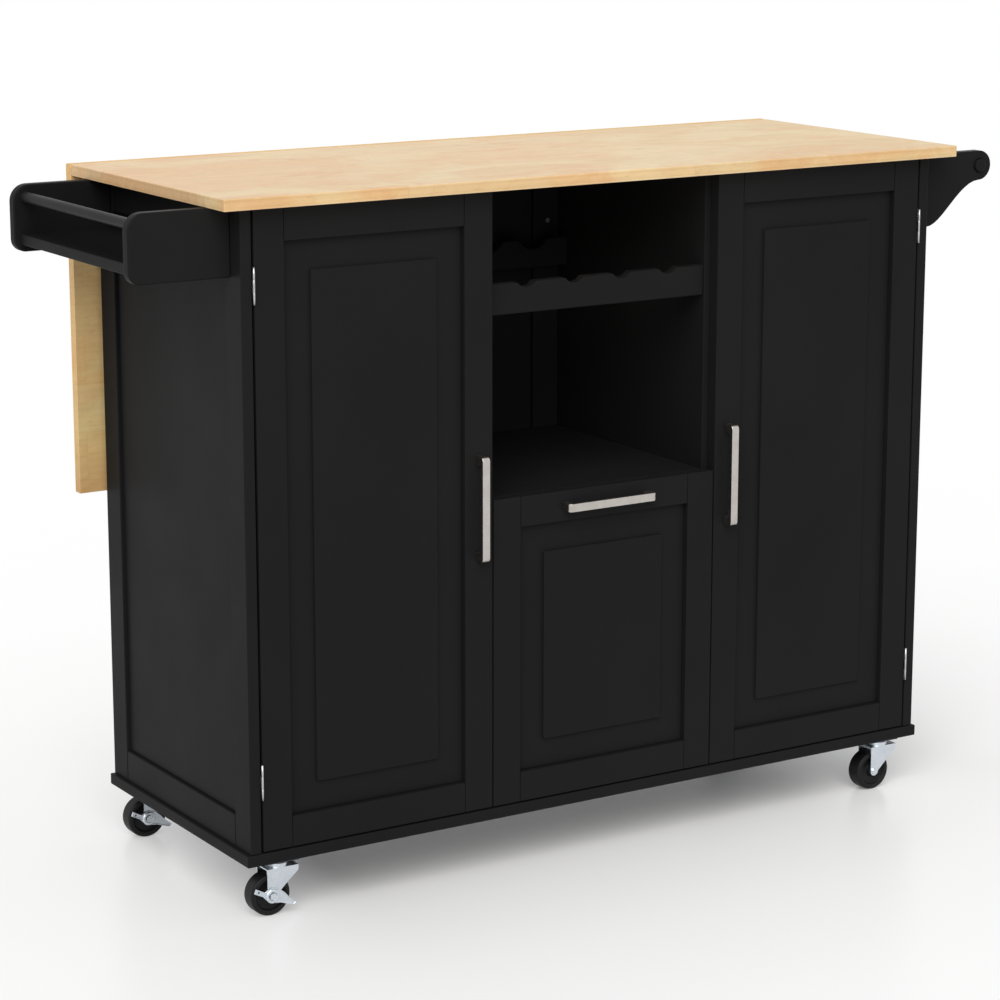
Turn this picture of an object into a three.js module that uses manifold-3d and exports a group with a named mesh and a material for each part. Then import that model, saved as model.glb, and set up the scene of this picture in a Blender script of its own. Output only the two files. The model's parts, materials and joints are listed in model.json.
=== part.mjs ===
// Drop leaf kitchen island on casters: a black painted cabinet with two doors, an open bay with a bottle
// rack, a pull-out bin front, a spice rack, a towel rack, a wooden worktop and a hinged wooden leaf.
// Millimetres, +Z up. The model is laid out with x = 0 on the cabinet's middle, y = 0 on its front face and
// z = 0 on the floor, and the finished group is then centred on the middle of its footprint.

import * as THREE from 'three';
import { mergeVertices } from 'three/addons/utils/BufferGeometryUtils.js';
import Module from 'manifold-3d';

const wasm = await Module();
wasm.setup();

// ---- Driving dimensions ------------------------------------------------------------------------------

const seam = 0.2; // clearance kept wherever two fixed pieces meet

const cabinetWidth = 1060;
const cabinetDepth = 400;
const worktopHeight = 915; // floor to the worktop's upper face
const worktopThick = 15;
const worktopEndOverhang = 31;
const worktopFrontOverhang = 21;
const worktopBackOverhang = 14;

const casterHeight = 73; // floor to the underside of the base board
const baseThick = 15;
const baseEndLip = 5.5;
const baseFaceLip = 2;

const sideThick = 15;
const sideStile = 42;
const sideRail = 42;
const sideRecess = 5;
const partitionThick = 15;
const frontSetback = 1; // from the back of the doors to the edges of the partitions and shelf

const backThick = 15;
const backInset = 11; // from the sides' back edges to the back's outer face
const backStile = 40;
const backMuntin = 95;
const backRail = 42;
const backRecess = 5;

const shelfThick = 15;
const bayShelfHeight = 501; // floor to the upper face of the open bay's shelf
const innerShelfHeight = 505;
const innerShelfSetback = 40;

const doorWidth = 337;
const doorThick = 17;
const doorTopGap = 3;
const frontBottomGap = 2;
const doorHingeGap = 3; // between the side and the door, where the hinge plates lie
const frontGap = 2; // between each door and the bin front
const binFrontHeight = 411;
const stileWidth = 41;
const railWidth = 40;
const fieldInset = 39; // from the frame to the raised field's upper edge
const fieldBevel = 1;
const fieldFace = 3.5; // depth of the raised field's face behind the frame's face
const recessFace = 8; // depth of the flat round the field
const panelBackInset = 2; // from the panel's back to the frame's back
const fieldCorner = 2.5;

const handleLength = 138;
const handleWidth = 11;
const handleThick = 6;
const handleFoot = 12; // length of each leg along the bar
const handleReach = 19;
const handleBend = 6;
const doorHandleHeight = 494; // floor to the middle of the door handles

const hingeLength = 46;
const hingeEndInset = 68.5; // from the door's end to the hinge
const hingePlate = 1;
const hingePlateDepth = 12;
const hingeKnuckleRadius = 2.2;
const hingePinRadius = 0.95;
const hingeAxisProud = 2.4; // from the front face to the hinge axis
const hingeClear = 0.3; // running clearance inside each hinge
const hingeLeafEdge = 0.3; // from the front face to the plate's edge beside the other plate's knuckle

const bottlePitch = 73.5; // between the middles of two bottles
const bottleRailHeight = 40;
const bottleRailThick = 15;
const bottleRailTop = 776;
const frontRailSetback = 20; // from the cabinet's front face
const rearRailGap = 11; // from the rear bottle rail to the back
const neckNotchWidth = 28;
const neckNotchDepth = 7;
const bodyNotchWidth = 46;
const bodyNotchDepth = 14;

const spiceReach = 135.5;
const spiceHeight = 86;
const spiceCheekThick = 15;
const spiceEndInset = 25; // from the side's front and back edges
const spiceTopCorner = 22;
const spiceLowCorner = 16;
const spiceFloorThick = 14;
const spiceFloorRise = 10; // from the cheeks' lower edge to the floor's underside
const spiceFloorInset = 7.5; // from the cheeks' outer edge
const spiceRodRadius = 7;
const spiceRodInset = 16; // from the cheeks' top and outer edges to the rod's middle

const towelReach = 130;
const towelHeight = 100.5;
const towelBracketThick = 15;
const towelEndInset = 22;
const towelEndRadius = 20.5;
const towelRodRadius = 9.2;
const towelRodProud = 4; // how far the rod stands out of each bracket
const towelFoot = 18; // straight length at the bracket's lower edge
const rodClear = 0.3;

const leafLength = 438; // from the leaf's joint edge to its free edge
const leafGap = 1.5; // between the worktop and the leaf
const leafFillet = 5;
const leafHingeInset = 181; // from the worktop's end to the hinge's middle
const leafArmThick = 6;
const leafArmWidth = 6;
const leafPinRadius = 2;
const leafPinReach = 11;
const leafPlateWidth = 60;
const leafPlateThick = 2.5;
const leafPlateDepth = 22;
const leafArmDrop = 14.5; // from the hinge axis to the arm's underside
const leafArmHeight = 4.5;
const leafSlotClear = 0.7;
const leafSlotRoof = 1.2;

const supportLength = 260;
const supportWidth = 16;
const supportThick = 8;
const supportSwing = 120; // degrees that the supports turn while the leaf turns 90
const supportRestGap = 0.5;
const supportPinRadius = 3;
const supportPlateWidth = 32;
const supportPlateHeight = 50;
const supportPlateThick = 3;
const supportEarThick = 3;
const supportEarGap = 0.6;
const supportEarHeight = 18;

const traySideGap = 16.5; // from the tray to each partition
const trayRearGap = 23.8; // from the tray to the back
const trayWall = 12;
const trayWallHeight = 150;
const trayFrontHeight = 368;
const slideWidth = 44;
const slideWall = 2;
const slideChannelHeight = 12;
const slideRearGap = 4.8; // from the channel to the back
const slideClear = 0.6;
const slideTopWidth = 40;

const wheelRadius = 27.5;
const wheelWidth = 23;
const wheelTrail = 14; // from the swivel axis back to the axle
const casterEndInset = 46;
const casterFaceInset = 21;
const casterPlateLength = 48;
const casterPlateWidth = 36;
const casterPlateThick = 2.5;
const casterSteel = 1.6;
const forkReach = 24; // from the swivel axis to the fork's leading edge
const forkLegHalf = 6.5; // half the width of a leg at the axle
const casterCapRadius = 15;
const casterCapHeight = 5.2;
const casterCapGap = 0.3;
const casterBossRadius = 11;
const casterBossHeight = 1.8;
const kingPinRadius = 4;
const kingPinHead = 6.5;
const kingPinHeadThick = 2.2;
const axleRadius = 3.1;
const axleHeadRadius = 4.6;
const axleHeadThick = 2.2;
const wheelSidePlay = 0.5; // between the wheel's hub and the fork
const forkSideGap = 1.5; // between the tyre and the fork
const brakeThick = 1.5;

// ---- Derived places ----------------------------------------------------------------------------------

const halfCabinet = cabinetWidth / 2;
const baseTop = casterHeight + baseThick;
const worktopUnder = worktopHeight - worktopThick;
const carcassBottom = baseTop + seam;
const carcassTop = worktopUnder - seam;
const carcassHeight = carcassTop - carcassBottom;
const sideInner = halfCabinet - sideThick;
const doorOuter = sideInner - doorHingeGap; // the doors' hinged edges
const doorInner = doorOuter - doorWidth; // their free edges
const binHalfWidth = doorInner - frontGap;
const partitionMiddle = doorInner - frontGap / 2;
const bayHalf = partitionMiddle - partitionThick / 2;
const bottleCount = Math.floor((2 * bayHalf) / bottlePitch); // as many as the bay holds
const frontBottom = baseTop + frontBottomGap;
const doorHeight = worktopUnder - doorTopGap - frontBottom;
const carcassFront = doorThick + frontSetback;
const backOuterFace = cabinetDepth - backInset;
const backInnerFace = backOuterFace - backThick;
const partitionOuter = partitionMiddle + partitionThick / 2;
const worktopBack = cabinetDepth + worktopBackOverhang;
const leafAxisY = worktopBack + leafGap + worktopThick / 2;
const leafAxisZ = worktopHeight - worktopThick / 2;
const worktopHalf = halfCabinet + worktopEndOverhang;

// ---- Materials ---------------------------------------------------------------------------------------

const paint = (color) => new THREE.MeshStandardMaterial({ color, roughness: 0.5, metalness: 0 });
const metal = (color, roughness) => new THREE.MeshStandardMaterial({ color, roughness, metalness: 1 });
const finish = {
  blackPaint: () => paint('#222324'),
  wood: () => new THREE.MeshStandardMaterial({ color: '#e3c495', roughness: 0.55, metalness: 0 }),
  nickel: () => metal('#c8c2ba', 0.32),
  steel: () => metal('#c9ccce', 0.35),
  zinc: () => metal('#b9c0c8', 0.4),
  rubber: () => new THREE.MeshStandardMaterial({ color: '#1d1d1e', roughness: 0.6, metalness: 0 }),
};

// ---- Solids ------------------------------------------------------------------------------------------

const island = new THREE.Group();

function addPart(name, geometry, material, parent = island) {
  const mesh = new THREE.Mesh(geometry, material);
  mesh.name = name;
  parent.add(mesh);
  return mesh;
}

function groupAt(x, y, z, parent = island) {
  const group = new THREE.Group();
  group.position.set(x, y, z);
  parent.add(group);
  return group;
}

// A block between two values on each axis.
function block([x0, x1], [y0, y1], [z0, z1]) {
  const geometry = new THREE.BoxGeometry(x1 - x0, y1 - y0, z1 - z0);
  return geometry.translate((x0 + x1) / 2, (y0 + y1) / 2, (z0 + z1) / 2);
}

// A block added as a mesh of its own, centred on its place.
function addBlock(name, xs, ys, zs, material, parent = island) {
  const [dx, dy, dz] = [xs, ys, zs].map(([a, b]) => b - a);
  const mesh = addPart(name, new THREE.BoxGeometry(dx, dy, dz), material, parent);
  mesh.position.set((xs[0] + xs[1]) / 2, (ys[0] + ys[1]) / 2, (zs[0] + zs[1]) / 2);
  return mesh;
}

const axes = {
  x: new THREE.Vector3(1, 0, 0),
  y: new THREE.Vector3(0, 1, 0),
  z: new THREE.Vector3(0, 0, 1),
};

// A shape drawn in x and z, extruded from y0 to y1.
function extrudeAlongY(shape, y0, y1, options = {}) {
  const geometry = new THREE.ExtrudeGeometry(shape, { depth: y1 - y0, bevelEnabled: false, ...options });
  const turn = new THREE.Matrix4().makeBasis(axes.x, axes.z, axes.y.clone().negate());
  return geometry.applyMatrix4(turn).translate(0, y1, 0);
}

// A shape drawn in y and z, extruded from x0 to x1.
function extrudeAlongX(shape, x0, x1, options = {}) {
  const geometry = new THREE.ExtrudeGeometry(shape, { depth: x1 - x0, bevelEnabled: false, ...options });
  const turn = new THREE.Matrix4().makeBasis(axes.y, axes.z, axes.x);
  return geometry.applyMatrix4(turn).translate(x0, 0, 0);
}

// A shape drawn in x and y, extruded from z0 to z1.
function extrudeAlongZ(shape, z0, z1, options = {}) {
  const geometry = new THREE.ExtrudeGeometry(shape, { depth: z1 - z0, bevelEnabled: false, ...options });
  return geometry.translate(0, 0, z0);
}

function rodAlongX(radius, x0, x1, segments = 16) {
  const rod = new THREE.CylinderGeometry(radius, radius, x1 - x0, segments);
  return rod.rotateZ(-Math.PI / 2).translate((x0 + x1) / 2, 0, 0);
}

function rodAlongY(radius, y0, y1, segments = 24) {
  return new THREE.CylinderGeometry(radius, radius, y1 - y0, segments).translate(0, (y0 + y1) / 2, 0);
}

function rodAlongZ(radius, z0, z1, segments = 24) {
  const rod = new THREE.CylinderGeometry(radius, radius, z1 - z0, segments);
  return rod.rotateX(Math.PI / 2).translate(0, 0, (z0 + z1) / 2);
}

function toManifold(geometry) {
  const bare = geometry.clone();
  for (const key of Object.keys(bare.attributes)) {
    if (key !== 'position') bare.deleteAttribute(key);
  }
  const merged = mergeVertices(bare, 1e-4);
  const vertProperties = new Float32Array(merged.attributes.position.array);
  const triVerts = new Uint32Array(merged.index.array);
  return new wasm.Manifold(new wasm.Mesh({ numProp: 3, vertProperties, triVerts }));
}

function toGeometry(solid) {
  const { vertProperties, triVerts } = solid.getMesh();
  const geometry = new THREE.BufferGeometry();
  geometry.setAttribute('position', new THREE.BufferAttribute(new Float32Array(vertProperties), 3));
  geometry.setIndex(new THREE.BufferAttribute(new Uint32Array(triVerts), 1));
  const flat = geometry.toNonIndexed();
  flat.computeVertexNormals();
  return flat;
}

// Joins the added geometries and cuts the others out of them.
function combine(added, cut = []) {
  let solid = toManifold(added[0]);
  for (const geometry of added.slice(1)) solid = solid.add(toManifold(geometry));
  for (const geometry of cut) solid = solid.subtract(toManifold(geometry));
  return toGeometry(solid);
}

function rectangle(x0, x1, y0, y1) {
  const shape = new THREE.Shape();
  shape.moveTo(x0, y0);
  shape.lineTo(x1, y0);
  shape.lineTo(x1, y1);
  shape.lineTo(x0, y1);
  shape.closePath();
  return shape;
}

function roundedRectangle(x0, x1, y0, y1, radius) {
  const shape = new THREE.Shape();
  shape.moveTo(x0 + radius, y0);
  shape.lineTo(x1 - radius, y0);
  shape.absarc(x1 - radius, y0 + radius, radius, -Math.PI / 2, 0);
  shape.absarc(x1 - radius, y1 - radius, radius, 0, Math.PI / 2);
  shape.absarc(x0 + radius, y1 - radius, radius, Math.PI / 2, Math.PI);
  shape.absarc(x0 + radius, y0 + radius, radius, Math.PI, 1.5 * Math.PI);
  return shape;
}

function polygon(points) {
  return new THREE.Shape(points.map(([a, b]) => new THREE.Vector2(a, b)));
}

// ---- Base, carcass and worktop -----------------------------------------------------------------------

addBlock(
  'base_board',
  [-halfCabinet - baseEndLip, halfCabinet + baseEndLip],
  [-baseFaceLip, cabinetDepth + baseFaceLip],
  [casterHeight, baseTop],
  finish.blackPaint(),
);

// A side is a frame round a recessed panel, drawn with its outer face on y = 0.
function sideGeometry() {
  const half = cabinetDepth / 2;
  const board = block([-half, half], [0, sideThick], [0, carcassHeight]);
  const pocket = block(
    [-half + sideStile, half - sideStile],
    [-1, sideRecess],
    [sideRail, carcassHeight - sideRail],
  );
  return combine([board], [pocket]);
}

for (const [name, hand] of [['left_side_panel', -1], ['right_side_panel', 1]]) {
  const side = addPart(name, sideGeometry(), finish.blackPaint());
  side.rotation.z = (hand * Math.PI) / 2;
  side.position.set(hand * halfCabinet, cabinetDepth / 2, carcassBottom);
}

for (const [name, hand] of [['left_partition', -1], ['right_partition', 1]]) {
  const middle = hand * partitionMiddle;
  addBlock(
    name,
    [middle - partitionThick / 2, middle + partitionThick / 2],
    [carcassFront, backInnerFace - seam],
    [carcassBottom, carcassTop],
    finish.blackPaint(),
  );
}

// The back has three fields, recessed on both faces, parted by muntins behind the partitions.
function backGeometry() {
  const half = sideInner - seam;
  const muntinHalf = backMuntin / 2;
  const fields = [
    [-half + backStile, -partitionMiddle - muntinHalf],
    [-partitionMiddle + muntinHalf, partitionMiddle - muntinHalf],
    [partitionMiddle + muntinHalf, half - backStile],
  ];
  const heights = [backRail, carcassHeight - backRail];
  const pockets = fields.flatMap((xs) => [
    block(xs, [-1, backRecess], heights),
    block(xs, [backThick - backRecess, backThick + 1], heights),
  ]);
  return combine([block([-half, half], [0, backThick], [0, carcassHeight])], pockets);
}

addPart('back_panel', backGeometry(), finish.blackPaint()).position.set(0, backInnerFace, carcassBottom);

addBlock(
  'open_bay_shelf',
  [-bayHalf + seam, bayHalf - seam],
  [carcassFront, backInnerFace - seam],
  [bayShelfHeight - shelfThick, bayShelfHeight],
  finish.blackPaint(),
);

for (const [name, hand] of [['left_inner_shelf', -1], ['right_inner_shelf', 1]]) {
  const ends = [hand * (partitionOuter + seam), hand * (sideInner - seam)].sort((a, b) => a - b);
  addBlock(
    name,
    ends,
    [innerShelfSetback, backInnerFace - seam],
    [innerShelfHeight - shelfThick, innerShelfHeight],
    finish.blackPaint(),
  );
}

addBlock(
  'worktop',
  [-worktopHalf, worktopHalf],
  [-worktopFrontOverhang, worktopBack],
  [worktopUnder, worktopHeight],
  finish.wood(),
);

// ---- Bottle rack -------------------------------------------------------------------------------------

// A rail across the bay with round notches along its upper edge. Its front face is on y = 0.
function bottleRail(notchWidth, notchDepth) {
  const half = bayHalf - seam;
  const radius = ((notchWidth / 2) ** 2 + notchDepth ** 2) / (2 * notchDepth);
  const reach = Math.asin(notchWidth / 2 / radius);
  const shape = new THREE.Shape();
  shape.moveTo(-half, 0);
  shape.lineTo(half, 0);
  shape.lineTo(half, bottleRailHeight);
  for (let i = bottleCount - 1; i >= 0; i -= 1) {
    const middle = (i - (bottleCount - 1) / 2) * bottlePitch;
    const centre = bottleRailHeight - notchDepth + radius;
    shape.absarc(middle, centre, radius, -Math.PI / 2 + reach, -Math.PI / 2 - reach, true);
  }
  shape.lineTo(-half, bottleRailHeight);
  shape.closePath();
  return extrudeAlongY(shape, 0, bottleRailThick, { curveSegments: 8 });
}

const railBottom = bottleRailTop - bottleRailHeight;
const rearRailFront = backInnerFace - rearRailGap - bottleRailThick;
addPart('bottle_rail_front', bottleRail(neckNotchWidth, neckNotchDepth), finish.blackPaint())
  .position.set(0, frontRailSetback, railBottom);
addPart('bottle_rail_rear', bottleRail(bodyNotchWidth, bodyNotchDepth), finish.blackPaint())
  .position.set(0, rearRailFront, railBottom);

// ---- Fronts: frames, raised panels and handles -------------------------------------------------------

// A front's frame, with its outer face on y = 0 and its lower edge on z = 0.
function frontFrame(width, height) {
  const shape = rectangle(-width / 2, width / 2, 0, height);
  const hole = rectangle(-width / 2 + stileWidth, width / 2 - stileWidth, railWidth, height - railWidth);
  shape.holes.push(hole);
  return extrudeAlongY(shape, 0, doorThick);
}

// The panel inside that frame: a flat border round a raised field with bevelled edges.
function frontPanel(width, height) {
  const half = width / 2 - stileWidth - seam;
  const [low, high] = [railWidth + seam, height - railWidth - seam];
  const border = block([-half, half], [recessFace, doorThick - panelBackInset], [low, high]);
  const inset = fieldInset - seam;
  const field = roundedRectangle(-half + inset, half - inset, low + inset, high - inset, fieldCorner);
  const rise = recessFace - fieldFace;
  const raised = extrudeAlongY(field, fieldFace + rise, recessFace + 1, {
    bevelEnabled: true,
    bevelThickness: rise,
    bevelSize: fieldBevel,
    bevelSegments: 2,
    curveSegments: 3,
  });
  // The bevelled back of the raised solid is cut off inside the border's thickness.
  const keep = block([-half, half], [0, recessFace + 0.5], [low, high]);
  const trimmed = toManifold(raised).intersect(toManifold(keep));
  return combine([border, toGeometry(trimmed)]);
}

// The outline of a bar handle, drawn with its length along the first axis and the front on the second.
function handleOutline() {
  const half = handleLength / 2;
  const inner = half - handleFoot;
  const bend = 1.5;
  const shape = new THREE.Shape();
  shape.moveTo(-half, 0);
  shape.lineTo(-half, handleReach - handleBend);
  shape.absarc(-half + handleBend, handleReach - handleBend, handleBend, Math.PI, Math.PI / 2, true);
  shape.absarc(half - handleBend, handleReach - handleBend, handleBend, Math.PI / 2, 0, true);
  shape.lineTo(half, 0);
  shape.lineTo(inner, 0);
  shape.absarc(inner - bend, handleReach - handleThick - bend, bend, 0, Math.PI / 2);
  shape.absarc(-inner + bend, handleReach - handleThick - bend, bend, Math.PI / 2, Math.PI);
  shape.lineTo(-inner, 0);
  shape.closePath();
  return shape;
}

// A handle that stands out towards -y, either upright or level, centred on the origin.
function handleGeometry(upright) {
  const bar = extrudeAlongZ(handleOutline(), -handleWidth / 2, handleWidth / 2, { curveSegments: 6 });
  bar.rotateZ(Math.PI);
  return upright ? bar.rotateY(Math.PI / 2) : bar;
}

function addFront(prefix, width, height, group) {
  addPart(`${prefix}_frame`, frontFrame(width, height), finish.blackPaint(), group);
  addPart(`${prefix}_raised_panel`, frontPanel(width, height), finish.blackPaint(), group);
}

const doorMiddle = (doorOuter + doorInner) / 2;
for (const [prefix, hand] of [['left_door', -1], ['right_door', 1]]) {
  const door = groupAt(hand * doorMiddle, 0, frontBottom);
  addFront(prefix, doorWidth, doorHeight, door);
  const handle = addPart(`${prefix}_handle`, handleGeometry(true), finish.nickel(), door);
  handle.position.set((-hand * (doorWidth - stileWidth)) / 2, -seam, doorHandleHeight - frontBottom);
}

const binFront = groupAt(0, 0, frontBottom);
addFront('bin_front', binHalfWidth * 2, binFrontHeight, binFront);
addPart('bin_front_handle', handleGeometry(false), finish.nickel(), binFront)
  .position.set(0, -seam, binFrontHeight - railWidth / 2);

// ---- Door hinges -------------------------------------------------------------------------------------

const hingeAxisX = doorOuter + doorHingeGap / 2;
const knuckle = hingeLength / 3;

// One half of a butt hinge about the origin: a plate on the side given by hand, with its own knuckles.
function hingeHalf(hand, knuckles, cuts) {
  const near = doorHingeGap / 2 - seam - hingePlate;
  const plateX = [hand * near, hand * (near + hingePlate)].sort((a, b) => a - b);
  const plateBack = hingeAxisProud + hingePlateDepth;
  const plate = block(plateX, [hingeAxisProud + hingeLeafEdge, plateBack], [0, hingeLength]);
  const webs = knuckles.map(([z0, z1]) => block(plateX, [0, hingeAxisProud + 1], [z0, z1]));
  const barrels = knuckles.map(([z0, z1]) => rodAlongZ(hingeKnuckleRadius, z0, z1, 16));
  return { added: [plate, ...webs, ...barrels], cut: cuts };
}

// The fixed half carries the pin through its two end knuckles.
function fixedHinge(hand) {
  const half = hingeHalf(hand, [[0, knuckle - hingeClear], [2 * knuckle + hingeClear, hingeLength]], []);
  return combine([...half.added, rodAlongZ(hingePinRadius, 1, hingeLength - 1, 12)]);
}

// The moving half turns on that pin with its middle knuckle.
function movingHinge(hand) {
  const bore = rodAlongZ(hingePinRadius + hingeClear, 0, hingeLength, 12);
  const half = hingeHalf(hand, [[knuckle, 2 * knuckle]], [bore]);
  return combine(half.added, half.cut);
}

for (const [prefix, hand] of [['left_door', -1], ['right_door', 1]]) {
  const heights = [
    ['lower', frontBottom + hingeEndInset],
    ['upper', frontBottom + doorHeight - hingeEndInset - hingeLength],
  ];
  for (const [level, height] of heights) {
    const hinge = groupAt(hand * hingeAxisX, -hingeAxisProud, height);
    addPart(`${prefix}_${level}_hinge_side_plate`, fixedHinge(hand), finish.steel(), hinge);
    addPart(`${prefix}_${level}_hinge_door_plate`, movingHinge(-hand), finish.steel(), hinge);
  }
}

// ---- Pull-out bin tray and its slide -----------------------------------------------------------------

const channelBottom = baseTop + seam;
const channelTop = channelBottom + slideChannelHeight;
const trayFront = doorThick + seam;
const trayBack = backInnerFace - trayRearGap;
const slideFront = trayFront + trayWall;
const slideHalf = slideWidth / 2;
const slotHalf = slideHalf - slideWall * 3;

// The fixed channel, open along its top.
const channelShape = polygon([
  [-slideHalf, 0],
  [slideHalf, 0],
  [slideHalf, slideChannelHeight],
  [slotHalf, slideChannelHeight],
  [slotHalf, slideChannelHeight - slideWall],
  [slideHalf - slideWall, slideChannelHeight - slideWall],
  [slideHalf - slideWall, slideWall],
  [-slideHalf + slideWall, slideWall],
  [-slideHalf + slideWall, slideChannelHeight - slideWall],
  [-slotHalf, slideChannelHeight - slideWall],
  [-slotHalf, slideChannelHeight],
  [-slideHalf, slideChannelHeight],
]);
const channelLength = backInnerFace - slideRearGap - slideFront;
addPart('bin_slide_channel', extrudeAlongY(channelShape, 0, channelLength), finish.steel())
  .position.set(0, slideFront, channelBottom);

// The runner: a foot held inside the channel, a neck through its slot and a flange under the tray.
const runnerFoot = slideHalf - slideWall - slideClear;
const runnerNeck = slotHalf - slideClear;
const runnerLow = slideWall + slideClear;
const runnerFootTop = slideChannelHeight - slideWall - slideClear;
const runnerFlange = slideChannelHeight + slideClear;
const runnerTop = runnerFlange + slideWall;
const runnerShape = polygon([
  [-runnerFoot, runnerLow],
  [runnerFoot, runnerLow],
  [runnerFoot, runnerFootTop],
  [runnerNeck, runnerFootTop],
  [runnerNeck, runnerFlange],
  [slideTopWidth / 2, runnerFlange],
  [slideTopWidth / 2, runnerTop],
  [-slideTopWidth / 2, runnerTop],
  [-slideTopWidth / 2, runnerFlange],
  [-runnerNeck, runnerFlange],
  [-runnerNeck, runnerFootTop],
  [-runnerFoot, runnerFootTop],
]);
addPart('bin_slide_runner', extrudeAlongY(runnerShape, 0, trayBack - slideFront), finish.steel())
  .position.set(0, slideFront, channelBottom);

// The tray: low walls on three sides and a high front board that backs the bin front.
const trayBottom = channelBottom + runnerTop + seam;
const trayHalf = bayHalf - traySideGap;
const trayGeometry = combine(
  [
    block([-trayHalf, trayHalf], [trayFront, trayBack], [trayBottom, trayBottom + trayWallHeight]),
    block([-trayHalf, trayHalf], [trayFront, trayFront + trayWall], [trayBottom, trayBottom + trayFrontHeight]),
  ],
  [
    block(
      [-trayHalf + trayWall, trayHalf - trayWall],
      [trayFront + trayWall, trayBack - trayWall],
      [trayBottom + trayWall, trayBottom + trayWallHeight + 1],
    ),
  ],
);
addPart('bin_tray', trayGeometry, finish.blackPaint());

// ---- Spice rack on the left side ---------------------------------------------------------------------

const spiceBottom = worktopUnder - seam - spiceHeight;
const spiceRack = groupAt(-halfCabinet - seam, 0, spiceBottom);
const spiceOuter = -spiceReach + seam;

function spiceCheek() {
  const shape = new THREE.Shape();
  shape.moveTo(0, 0);
  shape.lineTo(0, spiceHeight);
  shape.absarc(
    spiceOuter + spiceTopCorner, spiceHeight - spiceTopCorner, spiceTopCorner, Math.PI / 2, Math.PI,
  );
  shape.absarc(spiceOuter + spiceLowCorner, spiceLowCorner, spiceLowCorner, Math.PI, 1.5 * Math.PI);
  shape.closePath();
  return extrudeAlongY(shape, 0, spiceCheekThick, { curveSegments: 8 });
}

const spiceFront = spiceEndInset + spiceCheekThick;
const spiceBack = cabinetDepth - spiceEndInset - spiceCheekThick;
addPart('spice_rack_front_cheek', spiceCheek(), finish.blackPaint(), spiceRack)
  .position.y = spiceEndInset;
addPart('spice_rack_rear_cheek', spiceCheek(), finish.blackPaint(), spiceRack)
  .position.y = spiceBack;
addBlock(
  'spice_rack_floor',
  [spiceOuter + spiceFloorInset, 0],
  [spiceFront + seam, spiceBack - seam],
  [spiceFloorRise, spiceFloorRise + spiceFloorThick],
  finish.blackPaint(),
  spiceRack,
);
addPart(
  'spice_rack_rod',
  rodAlongY(spiceRodRadius, spiceFront + seam, spiceBack - seam),
  finish.blackPaint(),
  spiceRack,
).position.set(spiceOuter + spiceRodInset, 0, spiceHeight - spiceRodInset);

// ---- Towel rack on the right side --------------------------------------------------------------------

const towelBottom = worktopUnder - seam - towelHeight;
const towelRack = groupAt(halfCabinet + seam, 0, towelBottom);
const towelOuter = towelReach - seam;
const towelRodX = towelOuter - towelEndRadius;
const towelRodZ = towelHeight - towelEndRadius;

// A bracket with a round end, which narrows to the end in one long S curve.
function towelBracket() {
  const shape = new THREE.Shape();
  const start = towelRodZ - towelEndRadius;
  shape.moveTo(0, 0);
  shape.lineTo(towelFoot, 0);
  shape.bezierCurveTo(towelFoot + 27, 0, towelRodX - 35, start, towelRodX, start);
  shape.absarc(towelRodX, towelRodZ, towelEndRadius, -Math.PI / 2, Math.PI / 2);
  shape.lineTo(0, towelHeight);
  shape.closePath();
  const hole = new THREE.Path();
  hole.absarc(towelRodX, towelRodZ, towelRodRadius + rodClear, 0, 2 * Math.PI);
  shape.holes.push(hole);
  return extrudeAlongY(shape, 0, towelBracketThick, { curveSegments: 12 });
}

const towelBack = cabinetDepth - towelEndInset - towelBracketThick;
addPart('towel_rack_front_bracket', towelBracket(), finish.blackPaint(), towelRack)
  .position.y = towelEndInset;
addPart('towel_rack_rear_bracket', towelBracket(), finish.blackPaint(), towelRack)
  .position.y = towelBack;
addPart(
  'towel_rack_rod',
  rodAlongY(towelRodRadius, towelEndInset - towelRodProud, towelBack + towelBracketThick + towelRodProud),
  finish.blackPaint(),
  towelRack,
).position.set(towelRodX, 0, towelRodZ);

// ---- Drop leaf, its hinges and supports --------------------------------------------------------------

const leafHalfThick = worktopThick / 2;
const leafAxis = groupAt(0, leafAxisY, leafAxisZ);
const armHalf = leafArmThick / 2;
const leafHingeX = worktopHalf - leafHingeInset;
const leafHingeXs = [['left', -leafHingeX], ['right', leafHingeX]];

// The leaf hangs from the axis. Its joint edge is rounded, so that it turns clear of the worktop.
function leafGeometry() {
  const shape = new THREE.Shape();
  const corner = leafHalfThick - leafFillet;
  shape.moveTo(-leafHalfThick, leafHalfThick - leafLength);
  shape.lineTo(leafHalfThick, leafHalfThick - leafLength);
  shape.absarc(corner, corner, leafFillet, 0, Math.PI / 2);
  shape.absarc(-corner, corner, leafFillet, Math.PI / 2, Math.PI);
  shape.closePath();
  const board = extrudeAlongX(shape, -worktopHalf, worktopHalf, { curveSegments: 5 });
  const slotX = leafArmWidth / 2 + leafSlotClear;
  const cuts = leafHingeXs.flatMap(([, x]) => [
    block(
      [x - slotX, x + slotX],
      [-leafHalfThick - 1, armHalf + leafSlotRoof],
      [-leafArmDrop - leafSlotClear, armHalf + leafSlotRoof],
    ),
    rodAlongX(leafPinRadius + hingeClear, x - leafPinReach - 0.5, x + leafPinReach + 0.5, 12),
  ]);
  return combine([board], cuts);
}

addPart('drop_leaf', leafGeometry(), finish.wood(), leafAxis);

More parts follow.
